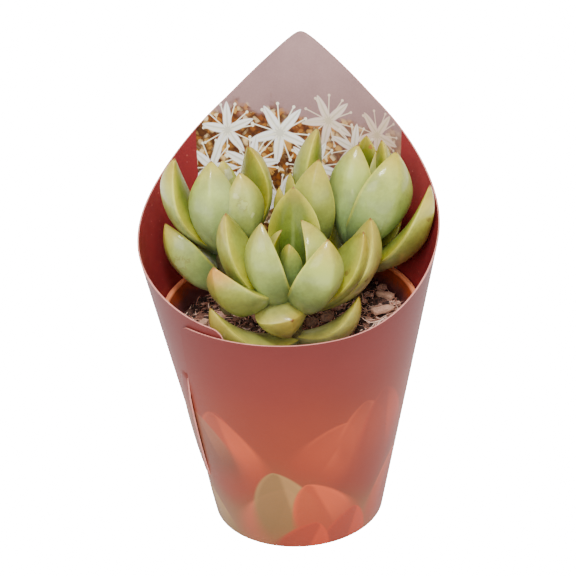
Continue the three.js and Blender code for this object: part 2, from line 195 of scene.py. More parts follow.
def shader_colour(colour):
    """The shader's own numbers for red, green and blue in 0 to 255 steps. A socket stays as it is."""
    if not isinstance(colour, tuple):
        return colour

    def linear(step):
        share = step / 255
        return share / 12.92 if share <= 0.04045 else ((share + 0.055) / 1.055) ** 2.4

    return (*(linear(step) for step in colour), 1)


# Meshes


class Skin:
    """The points and faces of one mesh in millimetres, with the number of a finish kept for each face, and
    named values kept for each point"""

    def __init__(self):
        self.points = []
        self.faces = []
        self.kinds = []
        self.values = {}

    def add(self, points, faces, kinds=0, **values):
        """Adds a surface and gives back the number of its first point. A kind or a value that isn't a list
        holds for the whole surface."""
        first = len(self.points)
        self.points += points
        self.faces += [tuple(first + corner for corner in face) for face in faces]
        self.kinds += kinds if isinstance(kinds, list) else [kinds] * len(faces)
        for label, numbers in values.items():
            spread = numbers if isinstance(numbers, list) else [float(numbers)] * len(points)
            self.values.setdefault(label, []).extend(spread)
        return first

    def build(self, name, *materials, smooth=True):
        mesh = bpy.data.meshes.new(name)
        mesh.from_pydata([(x * MM, y * MM, z * MM) for x, y, z in self.points], [], self.faces)
        for material in materials:
            mesh.materials.append(material)
        mesh.polygons.foreach_set("material_index", self.kinds)
        mesh.polygons.foreach_set("use_smooth", [smooth] * len(mesh.polygons))
        for label, numbers in self.values.items():
            if isinstance(numbers[0], tuple):
                flat = [number for row in numbers for number in row]
                mesh.attributes.new(label, "FLOAT_VECTOR", "POINT").data.foreach_set("vector", flat)
            else:
                mesh.attributes.new(label, "FLOAT", "POINT").data.foreach_set("value", numbers)
        mesh.update(calc_edges=True)
        piece = bpy.data.objects.new(name, mesh)
        bpy.context.scene.collection.objects.link(piece)
        return piece


def circle(steps):
    """The cosine and sine of evenly spaced turns, once round"""
    turns = [2 * math.pi * j / steps for j in range(steps)]
    return [(math.cos(turn), math.sin(turn)) for turn in turns]


def faces_round(rings, around, pointed=True):
    """The quads between rings of points, closed at each end by a fan to one more point or by a flat face"""
    last = (rings - 1) * around
    faces = []
    for i in range(0, last, around):
        for j in range(around):
            following = (j + 1) % around
            faces.append((i + j, i + following, i + around + following, i + around + j))
    if not pointed:
        return faces + [tuple(range(around - 1, -1, -1)), tuple(range(last, last + around))]
    for j in range(around):
        following = (j + 1) % around
        faces += [(last + around, following, j), (last + around + 1, last + j, last + following)]
    return faces


def sharpen_margins(piece, margin, step):
    """Breaks the shading along the edges that join points of the margin whose numbers are a step apart"""
    mesh = piece.data
    flags = []
    for edge in mesh.edges:
        start, end = edge.vertices
        flags.append(start in margin and end in margin and abs(start - end) == step)
    mesh.attributes.new("sharp_edge", "BOOLEAN", "EDGE").data.foreach_set("value", flags)


def sharpen_corners(piece, degrees):
    """Breaks the shading where two faces meet at more than the given angle"""
    shape = bmesh.new()
    shape.from_mesh(piece.data)
    limit = math.radians(degrees)
    for edge in shape.edges:
        edge.smooth = edge.is_manifold and edge.calc_face_angle(0) < limit
    shape.to_mesh(piece.data)
    shape.free()


def finish_piece(piece, slot, *nodes):
    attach(piece, "root")
    if nodes:
        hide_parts(*nodes)


# Shader building


class Recipe:
    """Adds nodes to one tree. Most calls give back the socket of their result."""

    def __init__(self, tree):
        self.tree = tree

    def put(self, socket, value):
        if isinstance(value, bpy.types.NodeSocket):
            self.tree.links.new(value, socket)
        elif value is not None:
            socket.default_value = value

    def node(self, kind, inputs=None, **settings):
        made = self.tree.nodes.new(kind)
        for label, setting in settings.items():
            setattr(made, label, setting)
        for label, value in (inputs or {}).items():
            self.put(made.inputs[label], value)
        return made

    def sum(self, operation, *numbers, clamp=False):
        made = self.node("ShaderNodeMath", operation=operation, use_clamp=clamp)
        for i, number in enumerate(numbers):
            self.put(made.inputs[i], number)
        return made.outputs[0]

    def times(self, first, second):
        return self.sum("MULTIPLY", first, second)

    def on_place(self, operation, place, other):
        """A vector made from a place and another vector"""
        return self.node("ShaderNodeVectorMath", {0: place, 1: other}, operation=operation).outputs[0]

    def blend(self, share, first, second):
        """Goes from the first colour to the second as the share goes from 0 to 1"""
        made = self.node("ShaderNodeMix", data_type="RGBA")
        self.put(made.inputs["Factor"], share)
        self.put(made.inputs[6], shader_colour(first))
        self.put(made.inputs[7], shader_colour(second))
        return made.outputs[2]

    def between(self, number, low, high, bottom=0, top=1):
        """Runs smoothly from bottom to top as number goes from low to high"""
        inputs = {"Value": number, "From Min": low, "From Max": high, "To Min": bottom, "To Max": top}
        return self.node("ShaderNodeMapRange", inputs, interpolation_type="SMOOTHSTEP").outputs[0]

    def ramp(self, number, stops):
        made = self.node("ShaderNodeValToRGB", {"Fac": number})
        marks = made.color_ramp.elements
        for i, (place, colour) in enumerate(stops.items()):
            mark = marks[i] if i < 2 else marks.new(place)
            mark.position = place
            mark.color = shader_colour(colour)
        return made.outputs["Color"]

    def noise(self, place, scale, detail=2, roughness=0.5):
        inputs = {"Vector": place, "Scale": scale, "Detail": detail, "Roughness": roughness}
        return self.node("ShaderNodeTexNoise", inputs).outputs["Fac"]

    def cells(self, place, scale):
        """How far a place is from the middle of its cell, and a number drawn for each cell"""
        made = self.node("ShaderNodeTexVoronoi", {"Vector": place, "Scale": scale})
        parts = self.node("ShaderNodeSeparateColor", {"Color": made.outputs["Color"]}).outputs
        return made.outputs["Distance"], parts["Red"]

    def value(self, label):
        """A number that was kept for each point of the mesh"""
        return self.node("ShaderNodeAttribute", attribute_name=label).outputs["Fac"]

    def card_place(self):
        return self.node("ShaderNodeAttribute", attribute_name="card_place").outputs["Vector"]

    def place(self):
        return self.node("ShaderNodeTexCoord").outputs["Object"]

    def parts(self, place):
        return self.node("ShaderNodeSeparateXYZ", {"Vector": place}).outputs

    def shaded(self, colour, clouds, low, high, dark, light):
        """The colour, darkened or lightened a little by the clouds"""
        shade = self.between(clouds, low, high, dark, light)
        made = self.node("ShaderNodeVectorMath", {0: colour, "Scale": shade}, operation="SCALE")
        return made.outputs[0]

    def bump(self, height, strength, distance):
        made = self.node("ShaderNodeBump", {"Height": height, "Strength": strength, "Distance": distance})
        return made.outputs["Normal"]

    def use(self, group, inputs):
        made = self.node("ShaderNodeGroup", inputs, node_tree=group)
        return made.outputs


def new_group(name, inputs, outputs):
    """A shader group, as (group, its recipe, its inputs, function that sets an output). An input whose start
    is None is a place. All other inputs, and the outputs, are numbers."""
    group = bpy.data.node_groups.new(name, "ShaderNodeTree")
    for label, start in inputs.items():
        kind = "NodeSocketVector" if start is None else "NodeSocketFloat"
        socket = group.interface.new_socket(label, in_out="INPUT", socket_type=kind)
        if start is not None:
            socket.default_value = start
    for label in outputs:
        group.interface.new_socket(label, in_out="OUTPUT", socket_type="NodeSocketFloat")
    recipe = Recipe(group)
    entry = recipe.node("NodeGroupInput").outputs
    leave = recipe.node("NodeGroupOutput").inputs
    return group, recipe, entry, lambda label, socket: recipe.put(leave[label], socket)


class Finish(Recipe):
    """A recipe for one material, whose constant numbers are set on its Principled shader's own sockets"""

    def __init__(self, name, constants):
        self.material = bpy.data.materials.new(name)
        self.material.use_nodes = True
        super().__init__(self.material.node_tree)
        self.shader = self.tree.nodes["Principled BSDF"].inputs
        for label, value in constants.items():
            self.shader[label].default_value = value

    def done(self, colour, roughness=None, normal=None):
        for label, socket in (("Base Color", colour), ("Roughness", roughness), ("Normal", normal)):
            self.put(self.shader[label], socket)
        return self.material

    def clouds(self, place, patch_scale, fleck_scale, fleck_share):
        return self.use(MOTTLING, {
            "Place": place, "Patch Scale": patch_scale, "Fleck Scale": fleck_scale,
            "Fleck Share": fleck_share,
        })[0]

    def specks(self, place, scale, size, share):
        return self.use(SPECKS, {"Place": place, "Scale": scale, "Size": size, "Share": share})[0]


def mottling_group():
    """Cloudy patches with finer flecks in them, round 0.5"""
    group, recipe, entry, leave = new_group(
        "mottling", {"Place": None, "Patch Scale": 150, "Fleck Scale": 900, "Fleck Share": 0.3}, ["Amount"],
    )
    patches = recipe.noise(entry["Place"], entry["Patch Scale"], 3, 0.55)
    flecks = recipe.noise(entry["Place"], entry["Fleck Scale"], 2, 0.6)
    parts = {"Factor": entry["Fleck Share"], 2: patches, 3: flecks}
    leave("Amount", recipe.node("ShaderNodeMix", parts, data_type="FLOAT").outputs[0])
    return group


def specks_group():
    """Small scattered specks: 1 on a speck and 0 between them"""
    group, recipe, entry, leave = new_group(
        "dust_specks", {"Place": None, "Scale": 900, "Size": 0.12, "Share": 0.35}, ["Mask"],
    )
    distance, drawn = recipe.cells(entry["Place"], entry["Scale"])
    near = recipe.between(distance, entry["Size"], 0)
    leave("Mask", recipe.times(near, recipe.sum("LESS_THAN", drawn, entry["Share"])))
    return group


def spot_group():
    """A soft mark with a ragged edge at one place on the surface, and the ring along that edge"""
    group, recipe, entry, leave = new_group(
        "surface_mark", {"Place": None, "Centre": None, "Radius": 0.001}, ["Mask", "Ring"],
    )
    ends = {0: entry["Place"], 1: entry["Centre"]}
    distance = recipe.node("ShaderNodeVectorMath", ends, operation="DISTANCE").outputs["Value"]
    ragged = recipe.between(recipe.noise(entry["Place"], 900, 2, 0.6), 0.3, 0.7, 0.55, 1.6)
    far = recipe.times(recipe.sum("DIVIDE", distance, entry["Radius"]), ragged)
    leave("Mask", recipe.between(far, 1, 0.55))
    leave("Ring", recipe.times(recipe.between(far, 1.15, 0.95), recipe.between(far, 0.6, 0.85)))
    return group


def printed_leaf_group():
    """One broad pointed leaf of a printed picture, crisp at its tip and blurred away towards its foot. Sizes
    are in millimetres on the flat card."""
    group, recipe, entry, leave = new_group(
        "printed_leaf",
        {"Card Place": None, "Foot": None, "Turn": 0, "Length": 20, "Width": 10, "Softness": 0.1},
        ["Mask", "Rim", "Fold", "Along"],
    )
    offset = recipe.on_place("SUBTRACT", entry["Card Place"], entry["Foot"])
    turning = {"Vector": offset, "Angle": entry["Turn"]}
    parts = recipe.parts(recipe.node("ShaderNodeVectorRotate", turning, rotation_type="Z_AXIS").outputs[0])
    along = recipe.sum("DIVIDE", parts["Y"], entry["Length"])
    across = recipe.sum("DIVIDE", parts["X"], recipe.times(entry["Width"], 0.5))
    swell = recipe.times(recipe.times(along, recipe.sum("SUBTRACT", 1, along)), 4)
    half_width = recipe.sum("POWER", recipe.sum("MAXIMUM", swell, 0), 0.65)
    inside = recipe.sum("SUBTRACT", half_width, recipe.sum("ABSOLUTE", across))
    blur = recipe.times(entry["Softness"], recipe.between(along, 0.25, 0.8, 1, 0.12))
    soft = recipe.between(inside, recipe.times(blur, -1), blur)
    within = recipe.times(recipe.sum("GREATER_THAN", swell, 0), recipe.between(along, 0.05, 0.5))
    leave("Mask", recipe.times(soft, within))
    leave("Rim", recipe.times(recipe.between(inside, 0.2, 0.03), recipe.between(along, 0.55, 0.85)))
    fold = recipe.between(recipe.sum("SUBTRACT", across, 0.15), -0.05, 0.1)
    leave("Fold", recipe.times(fold, recipe.between(along, 0.4, 0.75)))
    leave("Along", along)
    return group


def printed_blossom_group():
    """One open starry blossom of a printed picture, with its stamens"""
    group, recipe, entry, leave = new_group(
        "printed_blossom",
        {"Card Place": None, "Centre": None, "Radius": 5, "Turn": 0, "Petals": 6, "Petal Width": 0.3,
         "Stamens": 11},
        ["Petals", "Stamens", "Shade"],
    )
    offset = recipe.on_place("SUBTRACT", entry["Card Place"], entry["Centre"])
    parts = recipe.parts(offset)
    length = recipe.node("ShaderNodeVectorMath", {0: offset}, operation="LENGTH").outputs["Value"]
    out = recipe.sum("DIVIDE", length, entry["Radius"])
    angle = recipe.sum("ADD", recipe.sum("ARCTAN2", parts["Y"], parts["X"]), entry["Turn"])

    def beside_ray(count):
        """The distance to the nearest of evenly turned rays, in shares of the radius"""
        step = recipe.sum("DIVIDE", 2 * math.pi, count)
        off = recipe.sum("PINGPONG", angle, recipe.sum("DIVIDE", step, 2))
        return recipe.times(out, recipe.sum("SINE", off))

    beside_petal = beside_ray(entry["Petals"])
    tapering = recipe.sum("POWER", recipe.sum("MAXIMUM", recipe.sum("SUBTRACT", 1, out), 0), 0.75)
    opening = recipe.sum("POWER", recipe.sum("MAXIMUM", out, 0), 0.5)
    petal_edge = recipe.times(recipe.times(tapering, opening), entry["Petal Width"])
    on_petal = recipe.between(recipe.sum("SUBTRACT", petal_edge, beside_petal), -0.015, 0.03)
    leave("Petals", recipe.times(on_petal, recipe.sum("LESS_THAN", out, 1)))
    folded = recipe.sum("DIVIDE", beside_petal, recipe.sum("MAXIMUM", petal_edge, 0.01))
    leave("Shade", recipe.times(folded, recipe.between(out, 0.1, 0.32)))

    stamen_reach = 0.92
    beside_stamen = beside_ray(entry["Stamens"])
    beyond_middle = recipe.sum("GREATER_THAN", out, 0.12)
    on_stamen = recipe.times(recipe.sum("LESS_THAN", out, stamen_reach), beyond_middle)
    thread = recipe.times(recipe.between(beside_stamen, 0.03, 0.01), on_stamen)
    from_tip = recipe.sum("SUBTRACT", out, stamen_reach)
    squares = recipe.times(from_tip, from_tip), recipe.times(beside_stamen, beside_stamen)
    bead = recipe.between(recipe.sum("SQRT", recipe.sum("ADD", *squares)), 0.06, 0.04)
    leave("Stamens", recipe.sum("MAXIMUM", thread, bead))
    return group


MOTTLING = mottling_group()
SPECKS = specks_group()
SPOT = spot_group()
PRINTED_LEAF = printed_leaf_group()
PRINTED_BLOSSOM = printed_blossom_group()


# Leaves

LEAF_RINGS = 40
LEAF_AROUND = 36
UPPER_SHARE = 0.26


def plumpness(along, widest, at_root, root_power, tip_power, tip_curve):
    """The share of its full size that a leaf has along the way from root to tip"""
    if along < widest:
        swell = math.sin(0.5 * math.pi * along / widest) ** root_power
        return at_root + (1 - at_root) * swell
    toward_tip = (along - widest) / (1 - widest)
    return (1 - toward_tip ** tip_power) ** tip_curve


def leaf_point(root, leaf, along, q, on_upper):
    """A place on the upper or lower side of a leaf, `q` running from one margin at -1 to the other at 1, with
    the direction the leaf faces there and how far the place stands off the middle surface"""
    chord = Vector(leaf["tip"]) - root
    lengthwise = chord.normalized()
    facing = math.radians(leaf["faces"])
    across = Vector((math.cos(facing), math.sin(facing), 0))
    across = (across - lengthwise * across.dot(lengthwise)).normalized()
    upward = lengthwise.cross(across)
    middle = root + chord * along - upward * (4 * along * (1 - along) * leaf["sag"])
    heading = (chord - upward * (4 * (1 - 2 * along) * leaf["sag"])).normalized()
    raised = (upward - heading * upward.dot(heading)).normalized()
    half_width = leaf["wide"] / 2 * plumpness(along, 0.55, leaf["neck"], 1.05, 2, 0.92)
    thickness = leaf["thick"] * plumpness(along, 0.45, 0.55, 1, 2.2, 0.9)
    if on_upper:
        height = thickness * UPPER_SHARE * (1 - q * q) ** 0.9
    else:
        height = -thickness * (1 - UPPER_SHARE) * (0.6 * (1 - q * q) ** 0.62 + 0.4 * (1 - abs(q)))
    return middle + across * (half_width * q) + raised * height, raised, height


def leaf_root(plan, leaf):
    x, y = plan["place"]
    aside_x, aside_y = leaf["aside"]
    return Vector((x + aside_x, y + aside_y, leaf["root"]))


def leaf_skin(root, leaf, seed):
    """One leaf's points and faces, with the place along and across it and its side kept for each point"""
    half = LEAF_AROUND // 2
    points = []
    values = {"along": [], "across": [], "upper": []}

    def keep(spot, *own_values):
        points.append(tuple(spot))
        for numbers, own in zip(values.values(), own_values):
            numbers.append(own)

    for i in range(LEAF_RINGS):
        along = 1 - (1 - i / LEAF_RINGS) ** 1.15
        for j in range(LEAF_AROUND):
            turn = math.pi * (j % half) / half
            on_upper = j < half
            q = math.cos(turn) if on_upper else -math.cos(turn)
            spot, raised, height = leaf_point(root, leaf, along, q, on_upper)
            unevenness = noise.noise(spot * 0.16 + Vector((seed * 3.7, 0, 0)))
            spot += raised * (height * 0.05 * unevenness)
            keep(spot, along, q, 0.5 if j % half == 0 else float(on_upper))
    keep(root, 0, 0, 0.5)
    keep(Vector(leaf["tip"]), 1, 0, 0.5)
    return points, faces_round(LEAF_RINGS, LEAF_AROUND), values


def stem_skin(x, y, top):
    """A stem with the faint rings that fallen leaves leave on it"""
    steps, sides = 30, 24
    points = []
    for i in range(steps + 1):
        z = STEM_FOOT + (top - STEM_FOOT) * i / steps
        for cosine, sine in circle(sides):
            ringed = 0.08 * math.sin(z * 2.6 + 1.5 * sine) + 0.1 * noise.noise(Vector((x, y, z)) * 0.6)
            radius = STEM_RADIUS * (1 + ringed) * (1.12 - 0.15 * i / steps)
            points.append((x + radius * cosine, y + radius * sine, z))
    points += [(x, y, STEM_FOOT), (x, y, top)]
    return points, faces_round(steps + 1, sides)


# Blemishes: stem, number of the leaf on it, side, share of the way along and across, radius and kind
LEAF_MARKS = [
    ("leafy_stem_left", 1, "lower", (0.72, -0.3), 1.1, "scar"),
    ("leafy_stem_left", 1, "lower", (0.62, 0.05), 0.7, "pale"),
    ("leafy_stem_left", 1, "lower", (0.8, -0.7), 0.7, "pale"),
    ("leafy_stem_left", 3, "lower", (0.62, 0.2), 1.7, "scar"),
    ("leafy_stem_left", 5, "lower", (0.85, 0.3), 1.8, "silver"),
    ("leafy_stem_front", 3, "upper", (0.65, -0.7), 0.9, "brown"),
    ("leafy_stem_front", 4, "lower", (0.58, -0.9), 0.8, "brown"),
    ("leafy_stem_front", 4, "lower", (0.62, -0.5), 0.6, "brown"),
    ("leafy_stem_right", 4, "lower", (0.78, -0.3), 0.8, "brown"),
    ("leafy_stem_right", 4, "lower", (0.68, 0.2), 0.7, "brown"),
    ("leafy_stem_right", 2, "upper", (0.9, 1), 0.5, "red"),
    ("leafy_stem_right", 2, "upper", (0.9, -0.6), 0.5, "red"),
]
MARK_COLOURS = {
    "scar": (128, 112, 56), "pale": (214, 214, 160), "silver": (206, 208, 190), "brown": (118, 84, 42),
    "red": (160, 50, 32),
}


def leaf_marks(recipe, place, colour):
    """The leaves' colour with the blemishes on it"""
    for stem, number, side, (along, q), radius, kind in LEAF_MARKS:
        plan = LEAFY_STEMS[stem]
        leaf = plan["leaves"][number]
        centre = leaf_point(leaf_root(plan, leaf), leaf, along, q, side == "upper")[0] * MM
        mask, ring = recipe.use(SPOT, {"Place": place, "Centre": tuple(centre), "Radius": radius * MM})
        if kind == "scar":
            colour = recipe.blend(recipe.times(mask, 0.12), colour, MARK_COLOURS["pale"])
            mask = ring
        strength = 0.55 if kind in ("brown", "red") else 0.35
        colour = recipe.blend(recipe.times(mask, strength), colour, MARK_COLOURS[kind])
    return colour


def leaf_material():
    recipe = Finish("waxy_leaf", {
        "Subsurface Weight": 0.25, "Subsurface Radius": (1, 0.8, 0.35), "Subsurface Scale": 0.003,
        "Coat Weight": 0.45, "Coat Roughness": 0.14, "IOR": 1.33,
    })
    place = recipe.place()
    along = recipe.value("along")
    across = recipe.sum("ABSOLUTE", recipe.value("across"))
    warmth = recipe.value("warmth")
    clouds = recipe.clouds(place, 160, 1200, 0.25)

    # Underside: bluish and pale low down, yellower towards the tip
    cool = recipe.ramp(along, {
        0: (92, 122, 84), 0.4: (140, 166, 102), 0.75: (160, 174, 80), 1: (182, 174, 60),
    })
    warm = recipe.ramp(along, {
        0: (92, 110, 60), 0.4: (140, 150, 72), 0.75: (162, 160, 58), 1: (182, 156, 52),
    })
    under = recipe.blend(warmth, cool, warm)
    bloom = recipe.times(recipe.between(recipe.noise(place, 60), 0.46, 0.62), 0.35)
    under = recipe.blend(bloom, under, (176, 192, 120))

    # Upper face: a deeper green along the middle, yellow towards the margins
    middle = recipe.ramp(along, {0: (66, 92, 34), 0.5: (94, 114, 34), 1: (126, 130, 34)})
    middle = recipe.blend(recipe.between(warmth, 0.5, 0.8, 0, 0.6), middle, (160, 166, 66))
    over = recipe.blend(recipe.between(across, 0.45, 1), middle, (168, 164, 48))
    vein = recipe.times(recipe.between(across, 0.12, 0), recipe.between(along, 0.85, 0.45, 0, 0.55))
    over = recipe.blend(vein, over, (156, 172, 96))

    colour = recipe.blend(recipe.value("upper"), under, over)
    # Pale yellow tint: partly the yellowing of older leaves, partly painted light that brightens leaves lying
    # in shade
    aged_tint_and_painted_light = recipe.blend(recipe.between(along, 0.3, 1), (210, 198, 136), (226, 206, 104))
    colour = recipe.blend(recipe.value("pale"), colour, aged_tint_and_painted_light)
    margin = recipe.times(recipe.between(across, 0.95, 0.995), recipe.between(along, 0.12, 0.35))
    colour = recipe.blend(recipe.times(margin, 0.5), colour, (208, 204, 88))
    colour = recipe.blend(recipe.times(recipe.between(along, 0.8, 1), 0.5), colour, (188, 160, 48))
    blushed = recipe.times(recipe.between(along, 0.8, 0.98), recipe.value("blush"))
    colour = recipe.blend(blushed, colour, (214, 140, 56))
    point = recipe.times(recipe.between(along, 0.975, 0.995), 0.8)
    colour = recipe.blend(point, colour, (120, 52, 34))
    scratches = recipe.specks(recipe.on_place("MULTIPLY", place, (1, 1, 0.45)), 330, 0.17, 0.12)
    colour = recipe.blend(recipe.times(scratches, 0.25), colour, (222, 220, 160))
    colour = recipe.shaded(leaf_marks(recipe, place, colour), clouds, 0.35, 0.65, 0.8, 1.12)
    roughness = recipe.between(clouds, 0.3, 0.7, 0.36, 0.52)
    return recipe.done(colour, roughness, recipe.bump(recipe.noise(place, 420, 3, 0.6), 0.12, 0.0006))


def stem_material():
    recipe = Finish("corky_stem", {"Roughness": 0.8})
    place = recipe.place()
    clouds = recipe.clouds(place, 500, 2400, 0.4)
    colour = recipe.ramp(clouds, {0.3: (72, 58, 36), 0.5: (103, 95, 55), 0.7: (138, 131, 71)})
    rings = recipe.noise(recipe.on_place("MULTIPLY", place, (400, 400, 1800)), 1, 3, 0.6)
    return recipe.done(colour, normal=recipe.bump(rings, 0.6, 0.0006))


def leafy_stem(name, plan, leaf_finish, stem_finish):
    skin = Skin()
    no_leaf = dict.fromkeys(("along", "across", "upper", "warmth", "blush", "pale"), 0)
    skin.add(*stem_skin(*plan["place"], plan["top"]), kinds=1, **no_leaf)
    margin = set()
    for seed, leaf in enumerate(plan["leaves"]):
        points, faces, values = leaf_skin(leaf_root(plan, leaf), leaf, seed)
        first = skin.add(
            points, faces, **values, warmth=leaf["warmth"], blush=leaf["blush"], pale=leaf["pale"],
        )
        for start in range(first, first + LEAF_RINGS * LEAF_AROUND, LEAF_AROUND):
            margin |= {start, start + LEAF_AROUND // 2}
    piece = skin.build(name + "_fine", leaf_finish, stem_finish)
    sharpen_margins(piece, margin, LEAF_AROUND)
    finish_piece(piece, "leaves", name)


# Growing medium


def soil_height(x, y):
    bowl = SOIL_RISE * (x * x + y * y) / SOIL_REACH ** 2 + SOIL_SLOPE * x / SOIL_REACH
    dip_x = x - SOIL_DIP_PLACE[0]
    dip_y = y - SOIL_DIP_PLACE[1]
    dip = SOIL_DIP * math.exp(-(dip_x ** 2 + dip_y ** 2) / (2 * SOIL_DIP_SPREAD ** 2))
    lump = math.sin(1.1 * x + 0.7) * math.cos(1.3 * y - 0.4) + 0.6 * math.sin(0.6 * x - 0.9 * y)
    return SOIL_LEVEL + bowl - dip + SOIL_LUMPS * lump


def rough_soil_height(x, y):
    spot = Vector((x, y, 3))
    grit = 0.45 * noise.noise(spot * 0.9) + 0.3 * noise.noise(spot * 2.1) - 0.25
    return soil_height(x, y) + grit


def pot_wall_radius(z):
    return POT_RIM_RADIUS - POT_RIM_STEP - POT_TAPER * (POT_HEIGHT - z)


def pot_inner_radius(z):
    return pot_wall_radius(z) - POT_WALL


def fibre_material(name, dark, middle, pale):
    """Dry matter of which each bit has its own tone, with grain over it"""
    recipe = Finish(name, {"Roughness": 0.9})
    clouds = recipe.clouds(recipe.place(), 700, 3000, 0.5)
    grain = recipe.between(clouds, 0.3, 0.7, -0.2, 0.2)
    tone = recipe.sum("ADD", recipe.value("tone"), grain, clamp=True)
    colour = recipe.ramp(tone, {0.1: dark, 0.5: middle, 0.95: pale})
    return recipe.done(colour, normal=recipe.bump(clouds, 0.7, 0.0004))


def growing_medium(material):
    rounds, steps = 110, 260
    bottom = POT_FLOOR + SOIL_GAP
    foot = pot_inner_radius(bottom) - SOIL_GAP
    rim = pot_inner_radius(SOIL_LEVEL) - SOIL_GAP
    around = circle(steps)
    points = [(radius * x, radius * y, bottom) for radius in (foot / 2, foot) for x, y in around]
    for i in range(rounds, 0, -1):
        radius = rim * i / rounds
        for cosine, sine in around:
            x, y = radius * cosine, radius * sine
            points.append((x, y, rough_soil_height(x, y)))
    tones = [0.25 + 0.3 * noise.noise(Vector((x, y, 0)) * 1.3) for x, y, _ in points] + [0.3, 0.3]
    points += [(0, 0, bottom), (0, 0, rough_soil_height(0, 0))]
    skin = Skin()
    skin.add(points, faces_round(rounds + 2, steps), tone=tones)
    finish_piece(skin.build("growing_medium_fine", material), "growing_medium", "growing_medium")


def scattered(draw, count, reach):
    """Places spread evenly over the growing medium"""
    for _ in range(count):
        radius = reach * math.sqrt(draw.random())
        turn = draw.uniform(0, 2 * math.pi)
        yield radius * math.cos(turn), radius * math.sin(turn)


def unpacked(shape):
    """The points and faces of a shape, which is let go"""
    shape.verts.index_update()
    points = [vertex.co.copy() for vertex in shape.verts]
    faces = [tuple(vertex.index for vertex in face.verts) for face in shape.faces]
    shape.free()
    return points, faces


def twenty_faced_ball():
    """The corners and faces of a ball with twenty flat faces"""
    gold = (1 + math.sqrt(5)) / 2
    corners = [(a, b * gold, 0) for a in (-1, 1) for b in (-1, 1)]
    corners = corners + [(0, x, y) for x, y, _ in corners] + [(y, 0, x) for x, y, _ in corners]
    ball = bmesh.new()
    for corner in corners:
        ball.verts.new(Vector(corner).normalized())
    bmesh.ops.convex_hull(ball, input=ball.verts)
    return unpacked(ball)


def crumbs(material):
    """Crumbs of peat and bark on top of the growing medium"""
    draw = random.Random(11)
    corners, hull = twenty_faced_ball()
    skin = Skin()
    for x, y in scattered(draw, CRUMB_COUNT, CRUMB_REACH):
        size = 0.25 + 0.9 * draw.random() ** 3
        flat = draw.uniform(0.35, 0.8)
        long = draw.uniform(1, 2.2)
        spin = Matrix.Rotation(draw.uniform(0, 6.283), 3, "Z")
        spin = spin @ Matrix.Rotation(draw.uniform(-0.6, 0.6), 3, "X")
        tone = draw.random() ** 2
        centre = Vector((x, y, soil_height(x, y) - 0.1 + size * flat * 0.5))
        points = []
        for corner in corners:
            rough = corner * (1 + draw.uniform(-0.3, 0.3))
            offset = spin @ Vector((rough.x * size * long, rough.y * size, rough.z * size * flat))
            points.append(tuple(centre + offset))
        skin.add(points, hull, tone=tone)
    finish_piece(skin.build("peat_crumbs", material, smooth=False), "growing_medium")


def tube_along(path, radius):
    """A thin tapering tube, as points and faces"""
    sides = 4
    points = []
    count = len(path)
    for i, spot in enumerate(path):
        ahead = path[min(i + 1, count - 1)] - path[max(i - 1, 0)]
        side = ahead.cross(Vector((0.3, 0.2, 1))).normalized()
        other = ahead.cross(side).normalized()
        own = radius * (1 - 0.7 * abs(2 * i / (count - 1) - 1) ** 3)
        points += [tuple(spot + side * (own * x) + other * (own * y)) for x, y in circle(sides)]
    return points, faces_round(count, sides, pointed=False)


def fibres(material):
    """Coir fibres that lie over each other, some of them standing up a little"""
    draw = random.Random(5)
    stations, fewest = 8, 4
    skin = Skin()
    for x, y in scattered(draw, FIBRE_COUNT, FIBRE_REACH):
        length = draw.uniform(2.5, 8)
        heading = draw.uniform(0, 2 * math.pi)
        bend = draw.uniform(-0.25, 0.25)
        lift = draw.uniform(0.1, 0.5)
        rear = draw.uniform(0.5, 2.2) if draw.random() < 0.15 else 0
        path = []
        spot = Vector((x, y, 0))
        for i in range(stations):
            if math.hypot(spot.x, spot.y) > FIBRE_LIMIT:
                break
            height = soil_height(spot.x, spot.y) + lift + rear * (i / (stations - 1)) ** 2
            path.append(Vector((spot.x, spot.y, height)))
            heading += bend
            spot = spot + Vector((math.cos(heading), math.sin(heading), 0)) * (length / (stations - 1))
        if len(path) >= fewest:
            tube = tube_along(path, draw.uniform(0.06, 0.16))
            skin.add(*tube, tone=draw.random())
    finish_piece(skin.build("coir_fibres", material), "growing_medium")


def rest_height(bit):
    """The height at which a loose bit lies clear of the growing medium"""
    reach = max(bit["size"]) / 2
    steps = [-reach + reach / 4 * i for i in range(9)]
    x, y = bit["place"]
    return max(soil_height(x + dx, y + dy) for dx in steps for dy in steps) + SOIL_GAP


def rough_lump(bit, material, slot, angular, seed):
    """A loose bit: a finely cut ball pushed in and out, squared off into a flat chip or left round"""
    shape = bmesh.new()
    bmesh.ops.create_icosphere(shape, subdivisions=4, radius=1)
    length, width, thickness = bit["size"]
    turn = Matrix.Rotation(math.radians(bit["turn"]), 3, "Z")
    base = Vector((*bit["place"], rest_height(bit)))
    power = 0.45 if angular else 0.95
    for vertex in shape.verts:
        spot = Vector(math.copysign(abs(value) ** power, value) for value in vertex.co)
        waist = 0.75 + 0.25 * noise.noise(Vector((spot.x * 2, seed, 0)))
        unit = Vector((spot.x, spot.y * waist, spot.z))
        unit *= 1 + 0.12 * noise.noise(spot * 2.2 + Vector((seed, 0, 0)))
        if angular:
            unit.z += 0.05 * noise.noise(Vector((spot.x * 1.5, spot.y * 9, spot.z * 9 + seed)))
        scaled = Vector((unit.x * length / 2, unit.y * width / 2, unit.z * thickness / 2 + thickness / 2))
        vertex.co = turn @ scaled + base
    skin = Skin()
    skin.add(*unpacked(shape), tone=0.6)
    finish_piece(skin.build(bit["name"] + "_fine", material), slot, bit["name"])


# Pot


